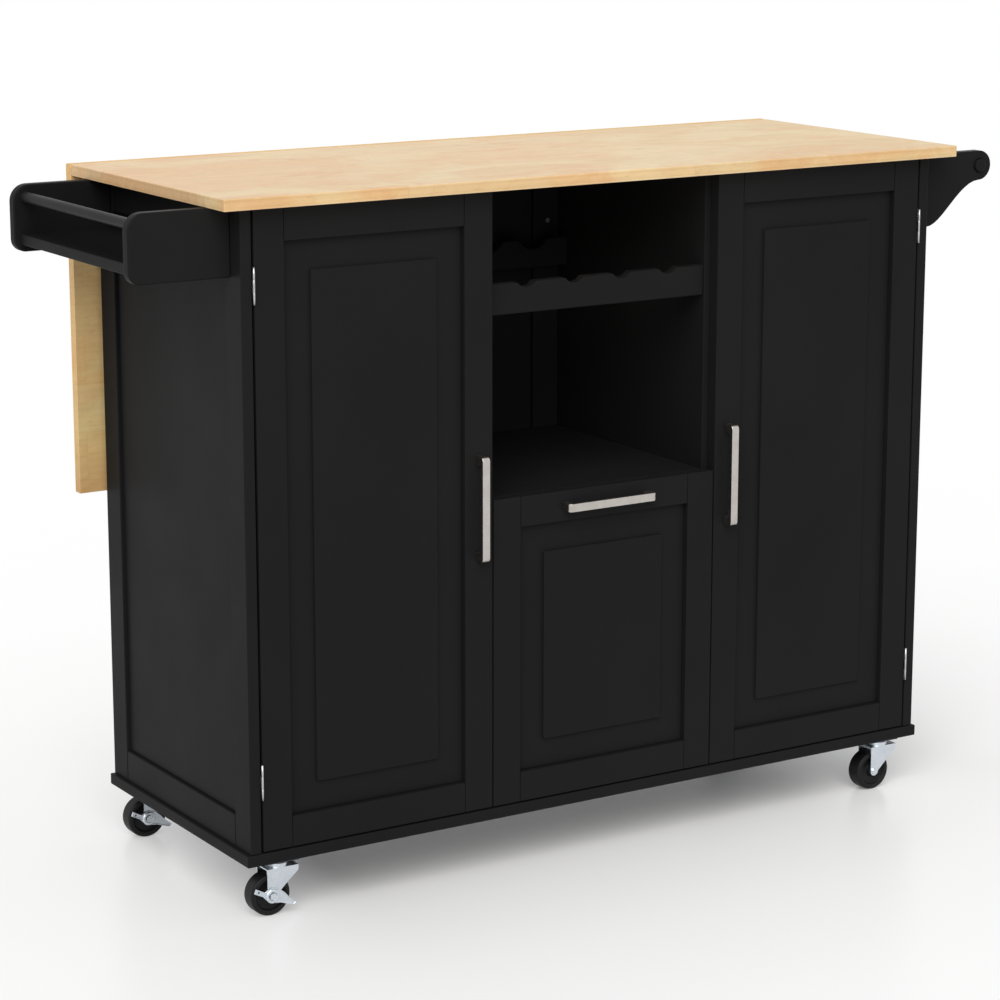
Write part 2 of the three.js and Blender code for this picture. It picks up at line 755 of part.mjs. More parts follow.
// A pivot hinge: a plate under the worktop, an arm that reaches into the leaf's slot, and a cross pin.
function leafHingeGeometry() {
  const armY = [worktopBack - leafAxisY - leafPlateDepth, armHalf];
  const plateTop = worktopUnder - seam - leafAxisZ;
  const armX = [-leafArmWidth / 2, leafArmWidth / 2];
  const plateY = [armY[0], worktopBack - leafAxisY - 2];
  return combine([
    block([-leafPlateWidth / 2, leafPlateWidth / 2], plateY, [plateTop - leafPlateThick, plateTop]),
    block(armX, armY, [-leafArmDrop, -leafArmDrop + leafArmHeight]),
    block(armX, plateY, [-leafArmDrop, plateTop]),
    block(armX, [-armHalf, armHalf], [-leafArmDrop, 0]),
    rodAlongX(armHalf, ...armX),
    rodAlongX(leafPinRadius, -leafPinReach, leafPinReach, 12),
  ]);
}

for (const [side, x] of leafHingeXs) {
  addPart(`leaf_hinge_${side}`, leafHingeGeometry(), finish.steel(), leafAxis).position.x = x;
}

// The supports hang on the back's outer stiles behind the leaf, and swing up with it until they hold it.
const swing = THREE.MathUtils.degToRad(supportSwing);
const supportHalf = supportWidth / 2;
const supportDrop = leafHalfThick + supportHalf + supportRestGap - supportLength * Math.cos(swing);
const supportY = (backOuterFace + worktopBack + leafGap) / 2;
const earInner = supportThick / 2 + supportEarGap;
const earOuter = earInner + supportEarThick;

function supportArm() {
  const shape = new THREE.Shape();
  shape.absarc(0, 0, supportHalf, 0, Math.PI);
  shape.absarc(0, -supportLength, supportHalf, Math.PI, 2 * Math.PI);
  shape.closePath();
  const bore = new THREE.Path();
  bore.absarc(0, 0, supportPinRadius + hingeClear, 0, 2 * Math.PI);
  shape.holes.push(bore);
  return extrudeAlongX(shape, -supportThick / 2, supportThick / 2, { curveSegments: 8 });
}

function supportBracket() {
  const plateBack = backOuterFace + seam - supportY;
  const plateFace = plateBack + supportPlateThick;
  const halfHeight = supportPlateHeight / 2;
  const earEnd = supportHalf;
  const plate = block(
    [-supportPlateWidth / 2, supportPlateWidth / 2],
    [plateBack, plateFace],
    [-halfHeight, halfHeight],
  );
  const ears = [[-earOuter, -earInner], [earInner, earOuter]].map((xs) =>
    block(xs, [plateBack + 1, earEnd], [-supportEarHeight / 2, supportEarHeight / 2]),
  );
  return combine([plate, ...ears, rodAlongX(supportPinRadius, -earOuter + 0.5, earOuter - 0.5)]);
}

for (const [side, hand] of [['left', -1], ['right', 1]]) {
  const pivot = groupAt(hand * (sideInner - backStile / 2), supportY, leafAxisZ - supportDrop);
  addPart(`leaf_support_${side}`, supportArm(), finish.blackPaint(), pivot);
  addPart(`leaf_support_bracket_${side}`, supportBracket(), finish.steel(), pivot);
}

// ---- Casters -----------------------------------------------------------------------------------------

const plateUnder = casterHeight - seam - casterPlateThick;
const bossUnder = plateUnder - casterBossHeight;
const capTop = bossUnder - casterCapGap;
const forkTop = capTop - casterCapHeight;
const forkInner = wheelWidth / 2 + forkSideGap;
const forkOuter = forkInner + casterSteel;

// The fixed plate, with the king pin that holds the fork.
function casterPlate() {
  const headTop = forkTop - casterSteel - casterCapGap;
  return combine([
    block(
      [-casterPlateLength / 2, casterPlateLength / 2],
      [-casterPlateWidth / 2, casterPlateWidth / 2],
      [plateUnder, plateUnder + casterPlateThick],
    ),
    rodAlongZ(casterBossRadius, bossUnder, plateUnder + 1),
    rodAlongZ(kingPinRadius, headTop - 1, plateUnder + 1, 16),
    rodAlongZ(kingPinHead, headTop - kingPinHeadThick, headTop, 16),
  ]);
}

// The fork trails behind the swivel axis. Its legs stand either side of the wheel and carry the axle.
function casterFork(axleFront, axleBack) {
  const back = -wheelTrail - forkLegHalf;
  const leg = new THREE.Shape();
  leg.moveTo(back, forkTop);
  leg.lineTo(back, wheelRadius);
  leg.absarc(-wheelTrail, wheelRadius, forkLegHalf, Math.PI, 2 * Math.PI);
  leg.lineTo(forkReach - 18, forkTop - 22.5);
  leg.lineTo(forkReach, forkTop - 7);
  leg.lineTo(forkReach, forkTop);
  leg.closePath();
  const axle = (radius, y0, y1) => rodAlongY(radius, y0, y1, 16).translate(-wheelTrail, 0, wheelRadius);
  return combine(
    [
      extrudeAlongY(leg, -forkOuter, -forkInner, { curveSegments: 8 }),
      extrudeAlongY(leg, forkInner, forkOuter, { curveSegments: 8 }),
      block([back, forkReach], [-forkOuter, forkOuter], [forkTop - casterSteel, forkTop]),
      rodAlongZ(casterCapRadius, forkTop - 0.5, capTop),
      axle(axleRadius, axleFront, axleBack),
      axle(axleHeadRadius, axleFront, axleFront + axleHeadThick),
      axle(axleHeadRadius, axleBack - axleHeadThick, axleBack),
    ],
    [rodAlongZ(kingPinRadius + casterCapGap, forkTop - 5, capTop + 1, 16)],
  );
}

// The wheel's section is turned about its axle, with a tyre, a recessed web and a hub with a bore.
function casterWheel() {
  const tyre = wheelWidth / 2;
  const bore = axleRadius + 0.3;
  const hub = forkInner - wheelSidePlay;
  const half = [
    [bore, hub],
    [bore + 5, hub],
    [bore + 6, tyre - 4.5],
    [wheelRadius - 8.5, tyre - 4.5],
    [wheelRadius - 6, tyre],
    [wheelRadius - 2, tyre],
    [wheelRadius, tyre - 2.5],
  ];
  const lower = half.map(([r, y]) => new THREE.Vector2(r, -y));
  const upper = half.map(([r, y]) => new THREE.Vector2(r, y)).reverse();
  const wheel = new THREE.LatheGeometry([...lower, ...upper, lower[0].clone()], 36);
  return toGeometry(toManifold(wheel));
}

// A stamped rocker beside the fork's front leg, drawn about the axle.
function brakeLever() {
  const shape = polygon([
    [-26, 7.5],
    [-14, 1.5],
    [-9.5, -3.5],
    [-4, -7.5],
    [4, -9.5],
    [12, -10.5],
    [21, -14],
    [30, -16.5],
    [34, -13.5],
    [22.5, -4],
    [17.5, 2],
    [9.5, 8.5],
    [0, 11],
    [-7, 9.5],
    [-11, 7],
    [-23.5, 13.5],
  ]);
  for (const [x, z, radius] of [[0, 0, axleRadius + 0.4], [-19.5, 8, 1.3]]) {
    const hole = new THREE.Path();
    hole.absarc(x, z, radius, 0, 2 * Math.PI);
    shape.holes.push(hole);
  }
  return extrudeAlongY(shape, 0, brakeThick, { curveSegments: 6 });
}

function addCaster(prefix, x, y, braked) {
  const caster = groupAt(x, y, 0);
  addPart(`${prefix}_plate`, casterPlate(), finish.zinc(), caster);
  const leverRoom = braked ? brakeThick + 2 * hingeClear : 0;
  const axleFront = -forkOuter - leverRoom - axleHeadThick;
  addPart(`${prefix}_fork`, casterFork(axleFront, forkOuter + axleHeadThick), finish.zinc(), caster);
  addPart(`${prefix}_wheel`, casterWheel(), finish.rubber(), caster)
    .position.set(-wheelTrail, 0, wheelRadius);
  if (braked) {
    addPart(`${prefix}_brake_lever`, brakeLever(), finish.zinc(), caster)
      .position.set(-wheelTrail, -forkOuter - hingeClear - brakeThick, wheelRadius);
  }
}

for (const [end, x, braked] of [
  ['left', -halfCabinet + casterEndInset, true],
  ['right', halfCabinet - casterEndInset, false],
]) {
  addCaster(`caster_front_${end}`, x, casterFaceInset, braked);
  addCaster(`caster_rear_${end}`, x, cabinetDepth - casterFaceInset, braked);
}

// ---- Footprint ---------------------------------------------------------------------------------------

const frontReach = Math.max(worktopFrontOverhang, handleReach + seam);
const backReach = worktopBack + leafGap + worktopThick;
island.position.set((spiceReach - towelReach) / 2, (frontReach - backReach) / 2, 0);

export default island;
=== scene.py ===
# Looks of the drop leaf kitchen island: painted boards, a light wooden top, satin metal fittings and
# rubber wheels. Metres, +Z up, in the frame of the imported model.

import json
import math

import bmesh
import bpy
from mathutils import Matrix, Vector
from mathutils.geometry import tessellate_polygon


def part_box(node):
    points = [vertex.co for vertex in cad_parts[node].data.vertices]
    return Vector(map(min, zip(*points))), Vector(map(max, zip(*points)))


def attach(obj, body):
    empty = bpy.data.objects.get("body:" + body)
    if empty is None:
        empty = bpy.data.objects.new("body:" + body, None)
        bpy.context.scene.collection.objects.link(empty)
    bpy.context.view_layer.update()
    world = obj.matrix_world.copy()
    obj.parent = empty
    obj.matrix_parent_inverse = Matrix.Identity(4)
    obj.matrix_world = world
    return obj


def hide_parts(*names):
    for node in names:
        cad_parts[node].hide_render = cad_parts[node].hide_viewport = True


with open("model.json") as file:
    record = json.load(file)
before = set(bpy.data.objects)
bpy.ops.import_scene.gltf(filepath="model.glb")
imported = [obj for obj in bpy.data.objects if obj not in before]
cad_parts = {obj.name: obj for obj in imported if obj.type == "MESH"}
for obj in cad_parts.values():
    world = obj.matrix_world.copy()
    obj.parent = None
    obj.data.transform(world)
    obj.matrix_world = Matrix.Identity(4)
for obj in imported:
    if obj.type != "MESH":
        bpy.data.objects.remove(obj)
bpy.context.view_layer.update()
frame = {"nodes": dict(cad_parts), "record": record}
nodes = frame["nodes"]
bodies = frame["record"]["behaviour"]["bodies"]
body_of = {node: body for body, names in bodies.items() for node in names}
mm = 0.001

fronts = ("left_door", "right_door", "bin_front")
casters = ("caster_front_left", "caster_front_right", "caster_rear_left", "caster_rear_right")


def srgb(r, g, b):
    """A colour written in 0-255 display values, as the linear values that a shader takes."""
    def linear(c):
        c /= 255
        return c / 12.92 if c <= 0.04045 else ((c + 0.055) / 1.055) ** 2.4
    return (linear(r), linear(g), linear(b), 1.0)


# ---- Material nodes -----------------------------------------------------------------------------------


class Tree:
    """A node tree, built by short calls."""

    def __init__(self, tree):
        self.tree = tree

    def add(self, kind, operation=None, **inputs):
        """A new node. An input's name is written with _ for a space, and its value may be an output."""
        node = self.tree.nodes.new(kind)
        if operation:
            node.operation = operation
        for key, value in inputs.items():
            self.link(value, node.inputs[key.replace("_", " ")])
        return node

    def link(self, value, socket):
        if isinstance(value, bpy.types.NodeSocket):
            self.tree.links.new(value, socket)
        else:
            socket.default_value = value

    def math(self, operation, a, b=0.0):
        node = self.add("ShaderNodeMath", operation)
        self.link(a, node.inputs[0])
        self.link(b, node.inputs[1])
        return node.outputs[0]

    def vector_math(self, operation, a, b=(0, 0, 0)):
        node = self.add("ShaderNodeVectorMath", operation)
        self.link(a, node.inputs[0])
        self.link(b, node.inputs[1])
        return node.outputs["Value" if operation == "LENGTH" else "Vector"]

    def seen(self):
        """1 for a ray from the camera, or from a reflection or clear material, and 0 for any other."""
        path = self.add("ShaderNodeLightPath").outputs
        direct_or_mirrored = self.math("MAXIMUM", path["Is Camera Ray"], path["Is Glossy Ray"])
        return self.math("MAXIMUM", direct_or_mirrored, path["Is Transmission Ray"])

    def blend(self, factor, a, b):
        """The shader a, which gives way to the shader b as the factor rises."""
        node = self.add("ShaderNodeMixShader")
        for value, socket in zip((factor, a, b), node.inputs):
            self.link(value, socket)
        return node.outputs[0]


class Shader(Tree):
    """A material's node tree. The grain runs along X of the given axes."""

    def __init__(self, name, axes="xyz"):
        self.material = bpy.data.materials.new(name)
        self.material.use_nodes = True
        super().__init__(self.material.node_tree)
        self.surface = self.tree.nodes["Principled BSDF"]
        place = self.add("ShaderNodeTexCoord").outputs["Object"]
        parts = dict(zip("xyz", self.split(place)))
        self.at = self.add(
            "ShaderNodeCombineXYZ", X=parts[axes[0]], Y=parts[axes[1]], Z=parts[axes[2]]
        ).outputs[0]

    def split(self, vector):
        return self.add("ShaderNodeSeparateXYZ", Vector=vector).outputs

    def stretched(self, x, y, z, where=None):
        return self.vector_math("MULTIPLY", self.at if where is None else where, (x, y, z))

    def noise(self, scale, where=None, detail=3.0, roughness=0.55, distortion=0.0):
        node = self.add(
            "ShaderNodeTexNoise",
            Vector=self.at if where is None else where,
            Scale=scale, Detail=detail, Roughness=roughness, Distortion=distortion,
        )
        return node.outputs["Fac"]

    def ramp(self, value, *stops):
        """A colour that runs through stops, each a position and a colour or grey."""
        node = self.add("ShaderNodeValToRGB", Fac=value)
        elements = node.color_ramp.elements
        while len(elements) < len(stops):
            elements.new(0.5)
        for element, (position, color) in zip(elements, stops):
            element.position = position
            element.color = color if isinstance(color, tuple) else (color, color, color, 1)
        return node.outputs["Color"]

    def remap(self, value, low, high, to_low=0.0, to_high=1.0):
        node = self.add("ShaderNodeMapRange", Value=value)
        for key, number in (
            ("From Min", low), ("From Max", high), ("To Min", to_low), ("To Max", to_high),
        ):
            node.inputs[key].default_value = number
        return node.outputs["Result"]

    def mix(self, factor, a, b, blend="MIX"):
        node = self.add("ShaderNodeMix")
        node.data_type = "RGBA"
        node.blend_type = blend
        # A colour mix has its factor, colours and result at these places among the sockets.
        for value, index in ((factor, 0), (a, 6), (b, 7)):
            self.link(value, node.inputs[index])
        return node.outputs[2]

    def multiplied(self, under, color):
        return self.mix(1.0, under, color, "MULTIPLY")

    def bump(self, height, strength, depth, below=None):
        node = self.add("ShaderNodeBump", Strength=strength, Distance=depth, Height=height)
        if below is not None:
            self.link(below, node.inputs["Normal"])
        return node.outputs[0]

    def finish(self, **sockets):
        for key, value in sockets.items():
            self.link(value, self.surface.inputs[key.replace("_", " ")])
        return self.material


def black_paint(name, dark, pale, low, high, specular, shaded=None):
    """Sprayed satin paint: a faint orange peel, slow changes of tone and of gloss.

    dark and pale are the ends of its grey, and low and high those of its roughness. shaded is the height
    of a face that lies in the shade of a rack: from there up, a painted shade makes the paint darker and
    duller than the rest.
    """
    s = Shader(name)
    cloud = s.noise(3.5, detail=4)
    tone = s.ramp(cloud, (0.3, srgb(dark, dark, dark + 1)), (0.7, srgb(pale, pale, pale)))
    peel = s.bump(s.noise(620, detail=2), 0.1, 0.2 * mm)
    gloss = s.remap(s.noise(9, detail=5), 0.3, 0.7, low, high)
    # A painted shade from the shaded height up: a darker grey and less specular reflection.
    if shaded:
        band = 1.5 * mm  # the shade comes in over this height
        height = s.split(s.at)["Z"]
        tone = s.mix(s.remap(height, shaded - band, shaded), tone, srgb(27, 27, 28))
        specular = s.remap(height, shaded - band, shaded, specular, 0.0)
    return s.finish(
        Base_Color=tone, Roughness=gloss, Normal=s.bump(s.noise(22), 0.06, 1.0 * mm, peel),
        Specular_IOR_Level=specular,
    )


def wood(name, axes, shift, faces, *casts):
    """Light wood glued up from staves along X, which lie side by side along the second axis.

    shift moves the pattern. faces are the two values on the third axis where the board's faces lie: its
    edges between them are deeper in colour, a painted shade. casts are places along the second axis, in
    metres, and the colours multiplied in there, as painted light and shade.
    """
    stave_length, stave_width, glue_line = 0.43, 64.7 * mm, 0.3 * mm
    s = Shader(name, axes)
    parts = s.split(s.at)
    across, through = parts["Y"], parts["Z"]
    s.at = s.vector_math("ADD", s.at, shift)
    stave = s.add(
        "ShaderNodeTexBrick", Vector=s.stretched(1, 1, 0), Color1=(0, 0, 0, 1), Color2=(1, 1, 1, 1),
        Mortar=(0.5, 0.5, 0.5, 1), Scale=1.0, Mortar_Size=glue_line, Mortar_Smooth=0.5,
        Brick_Width=stave_length, Row_Height=stave_width,
    )
    stave.offset = 0.41
    which, joint = stave.outputs["Color"], stave.outputs["Fac"]
    # Each stave has its own stretch of the grain.
    at = s.vector_math("ADD", s.vector_math("MULTIPLY", which, (3.1, 7.7, 5.3)), s.at)
    tint = s.ramp(
        which, (0.0, srgb(231, 194, 148)), (0.35, srgb(232, 200, 156)), (0.7, srgb(231, 204, 163)),
        (1.0, srgb(227, 194, 146)),
    )

    def laid_over(under, share, shade, color, low, high):
        """Where a shade passes from low to high, the colour covers what lies under it by share."""
        cover = s.math("MULTIPLY", s.ramp(shade, (low, 0.0), (high, 1.0)), share)
        return s.mix(cover, under, srgb(*color))

    # The staves at one end are more orange, and those at the other end are browner.
    along = s.split(s.at)["X"]
    tint = laid_over(tint, 0.55, s.remap(along, 0.15, -0.45), (229, 184, 138), 0.0, 1.0)
    tint = laid_over(tint, 0.65, s.remap(along, 0.15, 0.6), (221, 196, 148), 0.0, 1.0)
    # Orange and pale patches a hand wide run on across the staves, with a finer curl within them.
    orange = s.noise(5.6, s.stretched(1, 1.5, 1.5), detail=5, roughness=0.5, distortion=1.1)
    tint = laid_over(tint, 0.6, orange, (227, 179, 130), 0.5, 0.64)
    pale = s.noise(4.3, s.stretched(1, 1.4, 1.4), detail=5, roughness=0.55, distortion=0.9)
    tint = laid_over(tint, 0.7, pale, (235, 214, 172), 0.5, 0.62)
    curl = s.noise(19, s.stretched(1, 1.5, 1.5, at), detail=5, roughness=0.62, distortion=2.2)
    tint = laid_over(tint, 0.4, curl, (237, 210, 168), 0.5, 0.66)
    tint = laid_over(tint, 0.4, s.math("SUBTRACT", 1.0, curl), (220, 178, 130), 0.54, 0.68)
    # Fine grain, broader rings and dark pores run along each stave.
    grain = s.noise(1.0, s.stretched(9, 260, 260, at), detail=5, roughness=0.62)
    rings = s.noise(1.0, s.stretched(2.4, 40, 40, at), detail=4, roughness=0.55, distortion=2.2)
    pores = s.noise(1.0, s.stretched(70, 520, 520, at), detail=1)
    tint = s.multiplied(tint, s.ramp(grain, (0.25, 0.945), (0.6, 1.015)))
    tint = s.multiplied(tint, s.ramp(rings, (0.36, 0.96), (0.58, 1.015)))
    tint = laid_over(tint, 0.25, pores, (176, 128, 84), 0.67, 0.75)
    # Small dark knots, and fewer larger and paler ones.
    for scale, size, share, color in (
        (9.5, 0.028, 0.75, (128, 88, 56)), (4.3, 0.05, 0.5, (176, 126, 84)),
    ):
        knots = s.add("ShaderNodeTexVoronoi", Vector=s.stretched(1, 1.9, 1.9, at), Scale=scale)
        near = s.math("SUBTRACT", 1.0, knots.outputs["Distance"])
        tint = laid_over(tint, share, near, color, 1.0 - size, 1.0 - size * 0.4)
    tint = s.mix(s.math("MULTIPLY", joint, 0.3), tint, srgb(176, 134, 92))
    if casts:
        tint = s.multiplied(tint, s.ramp(across, *casts))
    # Painted shade deepens the edges' colour; a darker line runs along them some 3 mm from each face.
    low, high = faces
    depth = s.math("MINIMUM", s.math("SUBTRACT", high, through), s.math("SUBTRACT", through, low))
    edge_shade = s.remap(depth, 0.6 * mm, 1.6 * mm)
    tint = s.mix(edge_shade, tint, s.multiplied(tint, (0.91, 0.85, 0.735, 1)))
    line = s.ramp(s.math("DIVIDE", depth, 10 * mm), (0.2, 0.0), (0.29, 1.0), (0.36, 1.0), (0.5, 0.0))
    tint = s.mix(s.math("MULTIPLY", line, 0.5), tint, s.multiplied(tint, (0.88, 0.84, 0.78, 1)))
    relief = s.bump(grain, 0.12, 0.3 * mm)
    return s.finish(
        Base_Color=tint,
        Roughness=s.remap(grain, 0.3, 0.7, 0.42, 0.54),
        Normal=s.bump(s.math("SUBTRACT", 1.0, joint), 0.25, 0.3 * mm, relief),
        Specular_IOR_Level=0.5,
    )


def metal(name, color, dark, roughness, axes="xyz", brushed=(40, 1500, 1500), spangle=0.0):
    """Metal between two tones, with fine lines or ripples of the brushed scale, and zinc's spangle."""
    s = Shader(name, axes)
    lines = s.noise(1.0, s.stretched(*brushed), roughness=0.6)
    tone = s.ramp(s.noise(60), (0.3, srgb(*dark)), (0.7, srgb(*color)))
    if spangle:
        cells = s.add("ShaderNodeTexVoronoi", Vector=s.at, Scale=700).outputs["Color"]
        tone = s.multiplied(tone, s.ramp(cells, (0.2, 1 - spangle), (0.8, 1.0)))
    return s.finish(
        Base_Color=tone,
        Metallic=1.0,
        Roughness=s.remap(lines, 0.3, 0.7, roughness - 0.05, roughness + 0.07),
        Normal=s.bump(lines, 0.05, 0.1 * mm),
    )


def rubber():
    """Moulded wheel: a matt tyre with faint dust in its pores."""
    s = Shader("caster_wheel")
    pores = s.noise(900)
    tone = s.ramp(s.noise(45, detail=5), (0.35, srgb(14, 14, 15)), (0.75, srgb(22, 22, 23)))
    return s.finish(
        Base_Color=tone,
        Roughness=s.remap(pores, 0.3, 0.7, 0.42, 0.6),
        Normal=s.bump(pores, 0.15, 0.2 * mm),
        Specular_IOR_Level=0.2,
    )


PAINT = black_paint("black_paint", 28, 31, 0.36, 0.46, 0.03)
# A lighter copy of the paint for the spice rack's rod: a painted sheen along it.
ROD_SHEEN_PAINT = black_paint("black_paint_rods_painted_sheen", 32, 36, 0.33, 0.4, 0.05)
# The spice rack floor's paint, with a painted shade on its top face inside the rack.
RACK_SHADE_PAINT = black_paint(
    "black_paint_rack_floor_painted_shade", 28, 31, 0.36, 0.46, 0.03, shaded=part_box("spice_rack_floor")[1].z
)
TOP_WOOD = wood("oak_top", "xyz", (0.13, 0.0245, 0.0), [corner.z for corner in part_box("worktop")])
# Painted light and shade along the leaf's height: its wood is yellower all over and darkest at the lower
# end.
SHADED_LEAF_WOOD = wood(
    "oak_leaf_painted_shade", "xzy", (0.37, 0.0236, 0.0), [corner.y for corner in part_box("drop_leaf")],
    (0.48, (0.76, 0.68, 0.5, 1)), (0.53, (0.91, 0.89, 0.67, 1)), (0.6, (0.98, 0.96, 0.75, 1)),
    (0.7, (1.08, 1.03, 0.8, 1)),
)
NICKEL = metal("satin_nickel", (194, 189, 184), (182, 176, 170), 0.27)
STEEL = metal("hinge_steel", (196, 195, 194), (180, 179, 178), 0.3, "zxy")
ZINC = metal("caster_zinc", (214, 221, 227), (204, 211, 218), 0.28, brushed=(90, 90, 90), spangle=0.03)
# A darker copy of the zinc for the caster plates: a painted shade, as they lie in shade under the base.
SHADED_ZINC = metal("caster_plate_zinc_painted_shade", (96, 99, 103), (74, 77, 81), 0.42, brushed=(90, 90, 90))
SCREW = metal("screw_steel", (150, 150, 152), (120, 120, 122), 0.35)
WHEEL = rubber()
MATERIALS = {
    "black_paint": PAINT, "oak_top": TOP_WOOD, "satin_nickel": NICKEL,
    "hinge_steel": STEEL, "caster_zinc": ZINC, "caster_wheel": WHEEL,
}


# ---- Making pieces ------------------------------------------------------------------------------------


def piece(name, bm, body, slot, replaced=(), bevel=0.0, segments=2, material=None):
    """A mesh from bm with softened edges, riding on its body and standing for the CAD nodes named."""
    mesh = bpy.data.meshes.new(name)
    bmesh.ops.recalc_face_normals(bm, faces=bm.faces)
    for face in bm.faces:
        face.smooth = True
    bm.to_mesh(mesh)
    bm.free()
    mesh.materials.append(material or MATERIALS[slot])
    obj = bpy.data.objects.new(name, mesh)
    bpy.context.scene.collection.objects.link(obj)
    if bevel:
        soft = obj.modifiers.new("edges", "BEVEL")
        soft.width = bevel
        soft.segments = segments
        soft.limit_method = "ANGLE"
        soft.angle_limit = math.radians(32)
        soft.harden_normals = True
        soft.use_clamp_overlap = True
    even = obj.modifiers.new("normals", "WEIGHTED_NORMAL")
    even.keep_sharp = True
    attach(obj, body)
    if replaced:
        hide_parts(*replaced)


def softened(node, slot, bevel, segments=2, material=None, moved=None):
    """A copy of a CAD node with its flat faces joined up and its edges eased.

    moved, where it is given, says where each of its corners goes.
    """
    same_place, same_plane = 0.002 * mm, math.radians(0.6)
    bm = bmesh.new()
    bm.from_mesh(nodes[node].data)
    bmesh.ops.remove_doubles(bm, verts=bm.verts, dist=same_place)
    bmesh.ops.dissolve_limit(
        bm, angle_limit=same_plane, verts=bm.verts, edges=bm.edges, delimit=set()
    )
    if moved:
        for v in bm.verts:
            v.co = moved(v.co)
    piece(f"{node}_eased", bm, body_of[node], slot, [node], bevel, segments, material)


def board(bm, xs, ys, zs):
    """A block added to bm, between two values on each axis."""
    size = Matrix.Diagonal((xs[1] - xs[0], ys[1] - ys[0], zs[1] - zs[0], 1))
    middle = Matrix.Translation(((xs[0] + xs[1]) / 2, (ys[0] + ys[1]) / 2, (zs[0] + zs[1]) / 2))
    bmesh.ops.create_cube(bm, size=1, matrix=middle @ size)


def circle(radius, count):
    turns = [2 * math.pi * k / count for k in range(count)]
    return [(radius * math.cos(a), radius * math.sin(a)) for a in turns]


def towards(axis):
    """The turn that brings +Z to an axis."""
    return Vector((0, 0, 1)).rotation_difference(Vector(axis)).to_matrix()


def joined(bm, *loops):
    """A band of faces between each loop of corners and the next."""
    for a, b in zip(loops, loops[1:]):
        for k in range(len(a)):
            n = (k + 1) % len(a)
            bm.faces.new((a[k], a[n], b[n], b[k]))


def filled(bm, outer, inner, flat):
    """The face between two loops of corners, in triangles. flat gives a corner's place in its plane."""
    corners = outer + inner
    loops = [[(*flat(v.co), 0) for v in loop] for loop in (outer, inner)]
    for triangle in tessellate_polygon(loops):
        bm.faces.new([corners[i] for i in triangle])


def turned(bm, profile, count, middle, axis):
    """A profile of (radius, height) points, turned about a line through middle along axis.

    It starts and ends at radius 0, or else its end is joined to its start.
    """
    turn = towards(axis)
    rings = []
    for radius, height in profile:
        rings.append([
            bm.verts.new(Vector(middle) + turn @ Vector((x, y, height)))
            for x, y in circle(radius, count if radius > 0 else 1)
        ])
    if len(rings[0]) > 1:
        rings.append(rings[0])
    for low, high in zip(rings, rings[1:]):
        for k in range(count):
            n = (k + 1) % count
            corners = [low[k % len(low)], low[n % len(low)], high[n % len(high)], high[k % len(high)]]
            corners = [c for i, c in enumerate(corners) if c not in corners[:i]]
            bm.faces.new(corners)


def rod(node, ease, material=None):
    """A round painted bar along Y in place of a CAD node's faceted one, with its ends eased."""
    low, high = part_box(node)
    half, radius = (high - low).y / 2, (high - low).z / 2
    inset = ease * 0.3  # of the middle corner of an eased end
    end = [(0, half), (radius - ease, half), (radius - inset, half - inset), (radius, half - ease)]
    profile = [(r, -h) for r, h in end] + end[::-1]
    bm = bmesh.new()
    turned(bm, profile, 64, (low + high) / 2, (0, 1, 0))
    piece(f"{node}_turned", bm, body_of[node], "black_paint", [node], material=material)


def screws(name, body, slot, places, out, radius, rise, material=None):
    """Cross-head screws, one object for all: low domes that stand out of a face by rise, along out.

    Each has a cross-shaped recess that ends a little below that face.
    """
    turn = towards(out)
    dome = ((1.0, -0.3 * mm), (1.0, 0.25 * rise), (0.93, 0.75 * rise), (0.8, rise))
    arm, half = radius * 0.58, radius * 0.15
    cross = [(arm, -half), (arm, half), (half, half), (half, arm), (-half, arm), (-half, half),
             (-arm, half), (-arm, -half), (-half, -half), (-half, -arm), (half, -arm), (half, -half)]
    bm = bmesh.new()
    for place in map(Vector, places):
        def ring(points, height, place=place):
            return [bm.verts.new(place + turn @ Vector((x, y, height))) for x, y in points]

        def flat(corner, place=place):
            return (turn.transposed() @ (corner - place)).xy

        rings = [ring(circle(radius * share, 24), height) for share, height in dome]
        rim = ring(cross, rise)
        floor = ring([(x * 0.8, y * 0.8) for x, y in cross], 0.1 * rise - 0.2 * mm)
        joined(bm, *rings)
        filled(bm, rings[-1], rim, flat)
        joined(bm, rim, floor)
        bm.faces.new(floor)
        bm.faces.new(rings[0][::-1])
    piece(name, bm, body, slot, material=material)


# ---- Framed boards ------------------------------------------------------------------------------------

# A frame's rails end a groove short of its stiles. A thinner tongue of each runs on into the stiles.
groove_width, groove_depth = 0.7 * mm, 2.0 * mm
tongue_step = 1.0 * mm  # between a rail's edge and its tongue's
frame_lap, back_lap = 1.0 * mm, 0.3 * mm  # how far the tongues run in
front_stile, front_rail = 41 * mm, 40 * mm
side_board = 42 * mm  # width of a side's stiles and rails
end_stile, middle_stile, back_rail = 40 * mm, 95 * mm, 42 * mm
middle_stile_place = 174 * mm  # from the middle of the back to that of each middle stile
panel_recess = 5 * mm  # of the panels in the sides and the back
side_seam, back_seam = 0.5 * mm, 0.4 * mm  # round these panels


def rail(bm, xs, ys, zs, lap):
    """A rail between two stiles that end at xs."""
    board(bm, (xs[0] + groove_width, xs[1] - groove_width), ys, zs)
    board(
        bm, (xs[0] - lap, xs[1] + lap), (ys[0] + groove_depth, ys[1] - groove_depth),
        (zs[0] + tongue_step, zs[1] - tongue_step),
    )


def framed(bm, xs, ys, zs, stile, width):
    """Two stiles, and two rails of the given width between them."""
    board(bm, (xs[0], xs[0] + stile), ys, zs)
    board(bm, (xs[1] - stile, xs[1]), ys, zs)
    for z0, z1 in ((zs[0], zs[0] + width), (zs[1] - width, zs[1])):
        rail(bm, (xs[0] + stile, xs[1] - stile), ys, (z0, z1), frame_lap)


